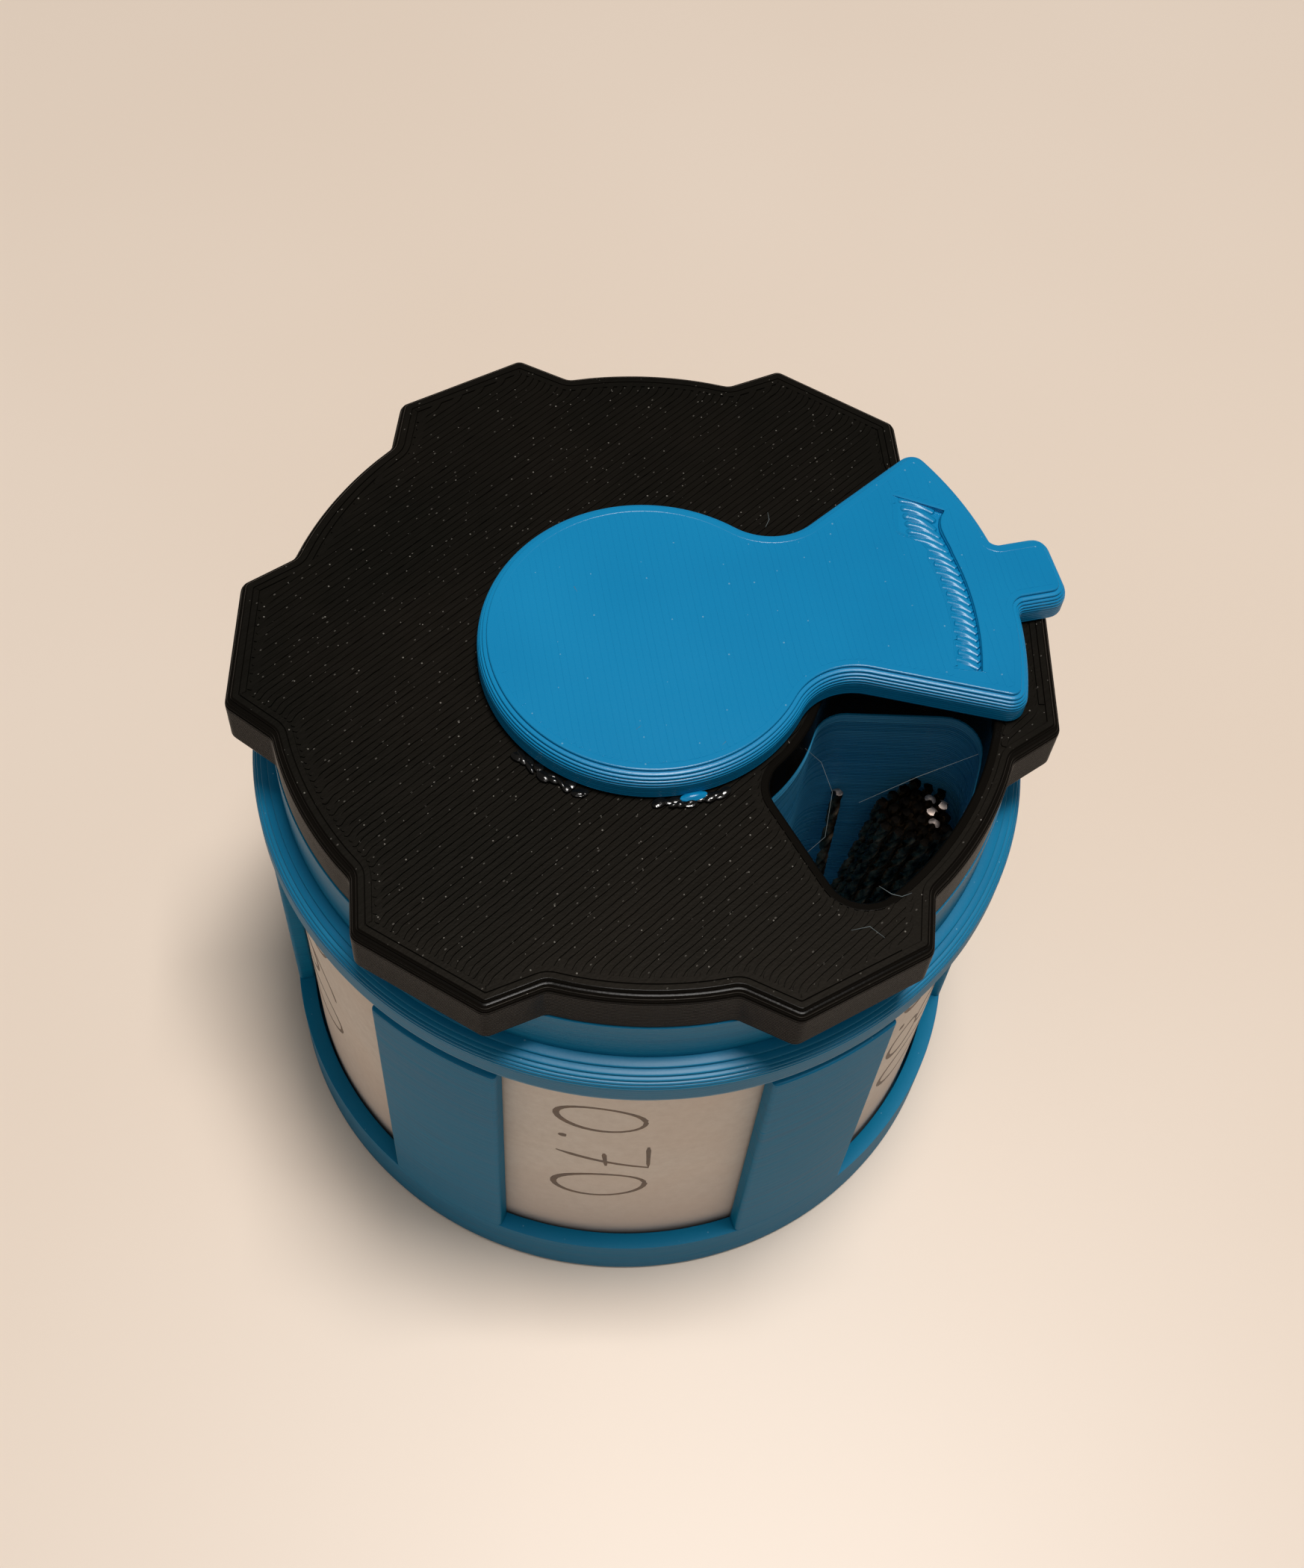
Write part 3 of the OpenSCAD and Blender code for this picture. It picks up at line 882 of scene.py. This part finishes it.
def add_ridge(skin, start, end, top, place):
    """End of one printed line on the scoop's sloping floor, bending as it goes down."""
    across = turned([end - start], OPEN_ANGLE)[0]
    bend = start + turned([(0.66 * across[0], 0.08 * across[1])], -OPEN_ANGLE)[0]
    path = []
    for t in np.linspace(0, 1, 13):
        p = start * (1 - t) ** 2 + 2 * bend * t * (1 - t) + end * t ** 2
        sunk = 0.01 + (SCOOP_DEPTH - 0.15) * t * (0.9 + 0.1 * t)
        path.append((*place(p[0], p[1]), top - sunk - RIDGE_R))
    tube(skin, path, RIDGE_R, 0, 14)


def shutter_skin():
    """Shutter with a stepped upper edge, a finger scoop, a stem and a pilot hole."""
    skin = Skin()
    outline = fixed(turned(shutter_outline(), OPEN_ANGLE), 1.0)
    edge = round_edge(1.0, 1.2)
    start, bed = edge[-1] + 0.05, 0.02
    rows = layers(SHUTTER_Z, SHUTTER_TOP, edge) + outline_line(SHUTTER_TOP, start, bed)
    low, high = printed_wall(skin, outline, rows)
    c, s = direction(OPEN_ANGLE)
    rim = add_scoop(skin, SHUTTER_TOP, bed, lambda x, y: (x * c - y * s, x * s + y * c))
    skin.cap([high, rim])
    stem_low, stem_high = smooth_wall(skin, STEM_R, STEM_Z, SHUTTER_Z)
    pilot_low, pilot_high = smooth_wall(skin, PILOT_R, STEM_Z, SHUTTER_Z + 1, 48)
    skin.cap([low, stem_high])
    skin.cap([stem_low, pilot_low])
    skin.cap([pilot_high])
    loops = [outline(start + LINE + 0.02), turned(scoop_loop(LINE + 0.015), OPEN_ANGLE)]
    fill_lines(skin, loops, 100, SHUTTER_TOP, bed, 0.012, 23, lambda x, y: 0.1, station=1.0, ends=0.25)
    add_glue(skin, 2)
    drop(skin, (*BLUE_RUN, SHUTTER_Z + 0.02), (0.9, 0.33), 0.28, 0, 15)
    for line in SHUTTER_THREADS:
        thread(skin, line, SHUTTER_TOP - 0.02, 0.018, 1)
    return skin


# (height, inset) of the flange's first layers, which stand back from the pillar tops
FLANGE_FOOT = ((0, 0.5), (0.22, 0.48), (0.26, 0.36), (0.42, 0.33), (0.48, 0.2), (0.62, 0.16), (0.7, 0.06))


def cup_skin():
    """Cup: body, flange with a stepped shoulder, neck, six compartments and the screw's web."""
    skin = Skin()
    edge = round_edge(FLANGE_R - NECK_R, SHOULDER_H)
    rows = [(CUP_Z, CUP_R - 0.3), (CUP_Z + 0.3, CUP_R), (SEAM_Z - 0.3, CUP_R), (SEAM_Z, CUP_R)]
    rows += [(SEAM_Z + up, FLANGE_R - d) for up, d in FLANGE_FOOT]
    rows += [(z, FLANGE_R - d) for z, d in layers(SEAM_Z + 0.9, SHOULDER_Z, edge)]
    rows += [(z, NECK_R - d) for z, d in layers(SHOULDER_Z, RIM_Z)]
    low, high = round_wall(skin, rows, WALL_ROUGH)
    tops = [add_pocket(skin, FIRST_WINDOW + SECTOR * i) for i in range(SECTORS)]
    hole_low, hole_high = smooth_wall(skin, SCREW_HOLE_R, WEB_Z, RIM_Z, 48)
    well_low, well_high = smooth_wall(skin, WELL_R, CUP_Z, WEB_Z)
    skin.cap([high, *tops, hole_high])
    skin.cap([well_high, hole_low])
    skin.cap([low, well_low])
    return skin


def add_pocket(skin, angle):
    """Walls and floor of one compartment; returns its upper ring."""
    edge_z = RIM_Z - 0.8
    rows = [(FLOOR_Z, 0.35), (FLOOR_Z + 0.12, 0.1), (FLOOR_Z + 0.4, 0), (edge_z, 0)]
    rows += [(z, d * 1.5 - 0.02) for z, d in layers(edge_z, RIM_Z)]
    pocket = fixed(turned(pocket_outline(), angle), 1.6)
    low, high = printed_wall(skin, pocket, rows, 1, POCKET_ROUGH)
    skin.cap([low], 1)
    return high


def pillar_outline():
    """Foot print of one pillar, centred on angle 0."""
    half = PILLAR_ANGLE / 2
    points = arc(SHELL_R, -half, half, 10) + arc(SHELL_IN_R, half, -half, 4)
    return rounded(points, [0.3] + [0] * 9 + [0.3] + [0.2] + [0] * 3 + [0.2])


def shell_skin():
    """Shell: floor, sill ring and six pillars, each built of layers."""
    skin = Skin()
    rows = [(0, SHELL_R - BASE_ROUND), (0.03, SHELL_R - BASE_ROUND * 0.55), (0.12, SHELL_R - 0.2)]
    rows += [(z, SHELL_R - d) for z, d in layers(LAYER, SILL_Z)]
    rows += [(SILL_Z, SHELL_R - 0.12), (SILL_Z, SHELL_IN_R + 0.1)]
    rows += [(z, SHELL_IN_R + d) for z, d in reversed(layers(SHELL_FLOOR, SILL_Z - 0.05))]
    for ring in round_wall(skin, rows, SHELL_ROUGH):
        skin.cap([ring])
    rows = [(SILL_Z - 0.12, 0.08)] + layers(SILL_Z, SEAM_Z, [0.0])
    for i in range(SECTORS):
        pillar = fixed(turned(pillar_outline(), SECTOR * i))
        for ring in printed_wall(skin, pillar, rows, rough=SHELL_ROUGH):
            skin.cap([ring])
    return skin


# ---- cards ----
def oval(cx, cy, rx, ry, start=90, sweep=372, n=30):
    """Pen stroke around an ellipse."""
    points = arc(1, start, start + sweep, n)
    return [(cx + rx * p[0], cy + ry * p[1]) for p in points]


def straight(*knots, n=6):
    """Pen stroke through straight pieces."""
    out = [(p[0] + (q[0] - p[0]) * i / n, p[1] + (q[1] - p[1]) * i / n)
           for p, q in zip(knots, knots[1:]) for i in range(n)]
    return out + [knots[-1]]


# strokes of each figure in a box 1 wide and 2 high
FIGURES = {
    "0": [oval(0.5, 1, 0.46, 0.95)],
    "1": [straight((0.2, 1.55), (0.55, 1.95), (0.5, 0.05))],
    "5": [straight((0.9, 1.93), (0.3, 1.9), (0.24, 1.15)) + oval(0.42, 0.6, 0.45, 0.58, 110, -215, 18)],
    "6": [oval(0.95, 0.75, 0.85, 1.2, 105, 70, 12) + oval(0.5, 0.52, 0.4, 0.5, 170, 370, 24)],
    "7": [straight((0.08, 1.9), (0.92, 1.94), (0.4, 0.05)), straight((0.34, 1.02), (0.84, 1.08))],
    "8": [oval(0.5, 1.48, 0.34, 0.44, -80, 340, 22) + oval(0.5, 0.52, 0.42, 0.52, 95, -360, 24)],
    "9": [oval(0.48, 1.45, 0.4, 0.48, 20, 350, 24) + straight((0.88, 1.5), (0.74, 0.6), (0.5, 0.06))],
    ".": [oval(0.05, 0.22, 0.03, 0.06, 90, 360, 8)],
}
FIGURE_W, FIGURE_H = 4.3, 3.2  # millimetres for one unit of a figure's box
FIGURE_STEP, DOT_STEP = 5.5, 1.3
TEXT_TOP, TEXT_BASE = 28.1, -4.85
CARD_TEXTS = ["0.70", "0.80", "0.90", "1.00", "0.50", "0.60"]


def card_skin(index):
    """Paper card, slightly wavy, with its bit size in pen running down it."""
    skin = Skin()
    middle = FIRST_WINDOW + SECTOR * index
    chance = random.Random(40 + index)
    sway = chance.uniform(0, 6)

    def place(x, z, h):
        a = middle + degrees(x / CARD_R)
        wave = 0.03 * sin(x * 0.33 + sway) + 0.02 * sin(z * 0.21 + sway * 2)
        return (*((CARD_R + CARD_T / 2 + wave + h) * direction(a)), z)

    half = radians(CARD_ANGLE / 2) * CARD_R - 0.05
    front, back = [], []
    for z in np.linspace(CARD_Z, CARD_TOP, 31):
        xs = np.linspace(-half, half, 41)
        front.append(skin.ring([place(x, z, 0) for x in xs]))
        back.append(skin.ring([place(x, z, -CARD_T) for x in xs]))
    skin.walls(front, closed=False)
    skin.walls(back, closed=False)
    for k in (0, -1):
        skin.bridge(front[k], back[k], closed=False)
        skin.bridge([r[k] for r in front], [r[k] for r in back], closed=False)
    write(skin, CARD_TEXTS[index], place, chance)
    return skin


def write(skin, text, place, chance):
    """Pen figures that read down the card, with their tops to the right."""
    z = TEXT_TOP
    for figure in text:
        tilt = chance.uniform(-0.1, 0.1)
        size = chance.uniform(0.95, 1.04)
        base = TEXT_BASE + chance.uniform(-0.2, 0.2)
        for stroke in FIGURES[figure]:
            path = [(base + v * FIGURE_H * size, z - (u + tilt * v) * FIGURE_W * size) for u, v in stroke]
            widths = [0.2 + 0.05 * sin(k * 0.35 + size * 9) for k in range(len(path))]
            widths[0] = widths[-1] = 0.1
            bead(skin, path, [(w, w) for w in widths], place, 0.012, 0.03, 1, 0.03)
        z -= DOT_STEP if figure == "." else FIGURE_STEP


# ---- drills ----
def bundle_places(reach):
    """Places of a packed bundle, counted in bit pitches from its middle."""
    if reach == 0:
        return [np.zeros(2)]
    grid = [np.array([u + v / 2 + 0.5, (v + 1 / 3) * sqrt(3) / 2])
            for u in range(-4, 5) for v in range(-4, 5)]
    return [p for p in grid if np.linalg.norm(p) <= reach]


# twist drills, counted in diameters or radii
LEAD = 5.6  # length of one turn of the flutes
FLUTED = 0.45  # share of the length that has flutes
FLUTE_OPEN, FLUTE_DEPTH = 0.62, 0.52
RUN_IN = 1.25  # millimetres in which a flute reaches its depth
POINT_H = 0.62
POINT_SLOPE = (0.6, 0.12)  # how steeply the point falls off along and across its edge
CHISEL = 0.09


def twist_drill(skin, d, length, flute, to_world, roll, point):
    """Two-flute drill: plain shank, black flutes, and a point of the material given by point."""
    radius = d / 2
    around = 14

    def helix(z):
        return roll + 2 * pi * z / (LEAD * d)

    def ring(along_flute, depth, z, slope=(0, 0)):
        turn = helix(along_flute)
        out = []
        for k in range(around):
            a = 2 * pi * k / around
            cut = max(0.0, 1 - (abs(cos(a)) / FLUTE_OPEN) ** 2.2)
            r = radius * (1 - FLUTE_DEPTH * depth * cut)
            fall = slope[0] * abs(r * cos(a)) + slope[1] * abs(r * sin(a))
            out.append(to_world @ Vector((r * cos(a + turn), r * sin(a + turn), z - fall)))
        return skin.ring(out)

    start = length - flute
    shoulder = length - radius * POINT_H
    rings = [ring(0, 0, 0.05), ring(0, 0, start)]
    steps = max(4, round(flute / (LEAD * d) * 9))
    for k in range(1, steps + 1):
        z = start + (shoulder - radius * 0.5 - start) * k / steps
        rings.append(ring(z - start, min(1, flute * k / steps / RUN_IN), z))
    rings.append(ring(shoulder - start, 1, length, POINT_SLOPE))
    skin.face(rings[0][::-1])
    skin.walls(rings)
    across = helix(shoulder - start) + pi / 2
    x, y = CHISEL * d * cos(across), CHISEL * d * sin(across)
    ends = skin.ring([to_world @ Vector((x, y, length)), to_world @ Vector((-x, -y, length))])
    top = rings[-1]
    for i in range(around):
        skin.face((top[i], top[(i + 1) % around], ends[i // (around // 2)]), point)
    for i in (0, around // 2):
        skin.face((top[i], ends[0], ends[1]), point)


def bundle(skin, d, length, reach, foot, bearing, tilt, splay, turn, chance, bright=None):
    """Drills that stand at foot, lean by tilt towards the bearing and spread at the tips.

    bright lists the drills whose points take bright steel, bare metal with a painted highlight; without it
    most of them do.
    """
    pitch = d + BIT_GAP
    base = Matrix.Rotation(radians(turn), 4, "Z") @ Matrix.Translation((*foot, FLOOR_Z))
    base @= Matrix.Rotation(radians(bearing), 4, "Z")
    for number, spot in enumerate(bundle_places(reach)):
        lean = np.array([sin(radians(tilt)), 0]) + splay * spot * pitch / length
        size = float(np.linalg.norm(lean))
        lift = BIT_CLEAR + d / 2 * size
        where = Matrix.Translation((spot[0] * pitch / cos(radians(tilt)), spot[1] * pitch, lift))
        swing = Matrix.Rotation(atan2(lean[1], lean[0]), 4, "Z")
        to_world = base @ where @ swing @ Matrix.Rotation(asin(size), 4, "Y")
        flute = length * FLUTED + chance.uniform(-0.6, 0.6)
        # points that are not bright take a darker copy of the oxide: painted shade
        shiny = chance.random() < 0.6 if bright is None else number in bright
        twist_drill(skin, d, length, flute, to_world, chance.uniform(0, 6.28), 1 if shiny else 2)


# these points are bright steel: bare metal with a painted highlight
BARE_AND_GLINTING_POINTS = (19, 20, 21, 25)  # drills of the shown bundle whose points are bright


def bits_skin(i):
    """Bundle of compartment i; each compartment holds the next size."""
    skin = Skin()
    chance = random.Random(70 + i)
    size_step = (i + 2) % SECTORS
    d = BIT_D + BIT_STEP * size_step
    length = SHOWN_BIT_LEN + BIT_LEN_STEP * (size_step - 3)
    turn = FIRST_WINDOW + SECTOR * i
    if i == SHOWN:
        bundle(skin, d, length, 2.55, (15, -1), 64.6, 14, 0.06, turn, chance, BARE_AND_GLINTING_POINTS)
    else:
        lean_to = 20 + 40 * sin(radians(70 * i))
        bundle(skin, d, length, 3.5 - 2 * d, (14.9, 0), lean_to, 7, 0.15, turn, chance)
    return skin


def loose_bit_skin():
    skin = Skin()
    bundle(skin, BIT_D + 3 * BIT_STEP, SHOWN_BIT_LEN, 0, (16.2, -5.9), 108, 22.3, 0, SHOWN_ANGLE,
           random.Random(99), (0,))
    return skin


# ---- stage, lamps and camera ----
def add_floor(material):
    mesh = bpy.data.meshes.new("floor")
    half = 3.0  # metres
    corners = [(-half, -half, 0), (half, -half, 0), (half, half, 0), (-half, half, 0)]
    mesh.from_pydata(corners, [], [(0, 1, 2, 3)])
    mesh.materials.append(material)
    add_object("floor", mesh)


def add_area(name, place, size, power, colour):
    """Rectangular lamp that points at the case; place and size are metres."""
    light = bpy.data.lights.new(name, "AREA")
    light.shape = "RECTANGLE"
    light.size, light.size_y = size
    light.energy = power
    light.color = colour
    lamp = add_object(name, light)
    lamp.location = place
    lamp.rotation_euler = (Vector((0, 0, 0.03)) - Vector(place)).to_track_quat("-Z", "Y").to_euler()


def add_world(colour, strength, backdrop):
    """Even light of a studio; the camera sees the backdrop's colour instead of it."""
    world = bpy.data.worlds.new("studio")
    world.use_nodes = True
    nodes, links = world.node_tree.nodes, world.node_tree.links
    light = nodes["Background"]
    light.inputs["Color"].default_value = (*colour, 1)
    light.inputs["Strength"].default_value = strength
    seen = nodes.new("ShaderNodeBackground")
    seen.inputs["Color"].default_value = backdrop
    mix = nodes.new("ShaderNodeMixShader")
    links.new(nodes.new("ShaderNodeLightPath").outputs["Is Camera Ray"], mix.inputs[0])
    links.new(light.outputs[0], mix.inputs[1])
    links.new(seen.outputs[0], mix.inputs[2])
    links.new(mix.outputs[0], nodes["World Output"].inputs["Surface"])
    bpy.context.scene.world = world


def add_camera():
    """Camera of the photograph, found from the case's circles and edges."""
    photo_width = 1746
    focal_pixels = 2600
    place = Vector((-4.495, -69.505, 141.83)) * MM
    turn = Euler([radians(a) for a in (31.293, -2.999, 0.293)])
    camera = bpy.data.cameras.new("camera")
    camera.sensor_fit = "HORIZONTAL"
    camera.sensor_width = 36
    camera.lens = 36 * focal_pixels / photo_width
    camera.clip_start = 0.005
    obj = add_object("camera", camera)
    obj.matrix_world = Matrix.LocRotScale(place, turn, None)
    bpy.context.scene.camera = obj


def main():
    scene = bpy.context.scene
    scene.view_settings.view_transform = "Standard"
    add_camera()
    add_world((1.0, 0.94, 0.89), 0.14, srgb(196, 180, 162))
    add_area("lamp", (0.085, 0.01, 0.8), (0.2, 0.2), 5.1, (1.0, 0.97, 0.94))
    add_area("fill", (-0.03, -0.45, 0.8), (0.5, 0.4), 0.9, (1.0, 0.96, 0.92))
    add_floor(cloudy_material("floor", (229, 212, 195), (234, 219, 204), (0.38, 0.44), 0.008, rough=0.5))

    pale = (150, 190, 205)
    top_blue = [(8, 127, 178), (14, 136, 187), (5, 113, 164)]
    deep_blue = [(6, 115, 156), (14, 127, 168), (4, 100, 141)]
    # the compartments' insides take a lighter copy of the cup's blue: painted light in the recesses
    pocket_blue_painted_light = [(62, 148, 190), (84, 168, 208), (40, 126, 170)]
    soot = [(13, 11, 8), (19, 16, 13), (9, 8, 6)]
    blue = printed_plastic("blue_print", top_blue, pale, 0.26, 0.05, 0.012, 0.32)
    side_blue = printed_plastic("blue_side", deep_blue, pale, 0.38, 0.06, 0.006, 0.26)
    shell_blue = printed_plastic("blue_shell", deep_blue, pale, 0.42, 0.06, 0.006, 0.17)
    pocket = printed_plastic("blue_inside_painted_light", pocket_blue_painted_light, pale, 0.3, 0.08, 0.012)
    black = printed_plastic("black_print", soot, (120, 115, 108), 0.19, 0.04, 0.008, 0.06)
    top = black_top(45)
    glue = cloudy_material("dried_glue", (6, 6, 6), (18, 17, 15), (0.08, 0.2), 1.6, blend=(0, 1), bump=0.1)
    strand, paper = thread_material(), paper_material()
    ink = cloudy_material("pen_ink", (84, 68, 56), (122, 102, 86), (0.5, 0.7), 1.1)
    oxide = metal_material("black_oxide", (30, 26, 22), (140, 116, 90), 0.36, 1.8, 0.5)
    # drill points: a darker copy of the oxide as painted shade, and bright steel as bare metal with a
    # painted highlight
    dull = metal_material("oxide_point_painted_dark", (8, 7, 6), (24, 20, 17), 0.6, 3.0)
    ground = metal_material("ground_steel", (176, 158, 148), (225, 210, 200), 0.45, 4.0)
    steel = metal_material("zinc_steel", (150, 150, 150), (200, 200, 198), 0.25, 2.0)

    drill = [oxide, ground, dull]
    piece("printed_lid", lid_skin(), [black, top, strand], "lid", ["lid"])
    piece("printed_shutter", shutter_skin(), [blue, strand, glue], "shutter", ["shutter"])
    piece("printed_cup", cup_skin(), [side_blue, pocket], "cup", ["compartment_cup", "compartment_divider"])
    piece("printed_shell", shell_skin(), [shell_blue], "shell", ["outer_shell"])
    for i in range(SECTORS):
        piece(f"written_card_{i + 1}", card_skin(i), [paper, ink], "shell", [f"label_card_{i + 1}"])
        piece(f"twist_drills_{i + 1}", bits_skin(i), drill, "cup", [f"drill_bits_{i + 1}"])
    piece("loose_twist_drill", loose_bit_skin(), drill, "cup", ["loose_drill_bit"])
    for node in ("pivot_screw", "flat_washer", "spring_washer"):
        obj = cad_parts[node]
        obj.data.materials.clear()
        obj.data.materials.append(steel)


main()
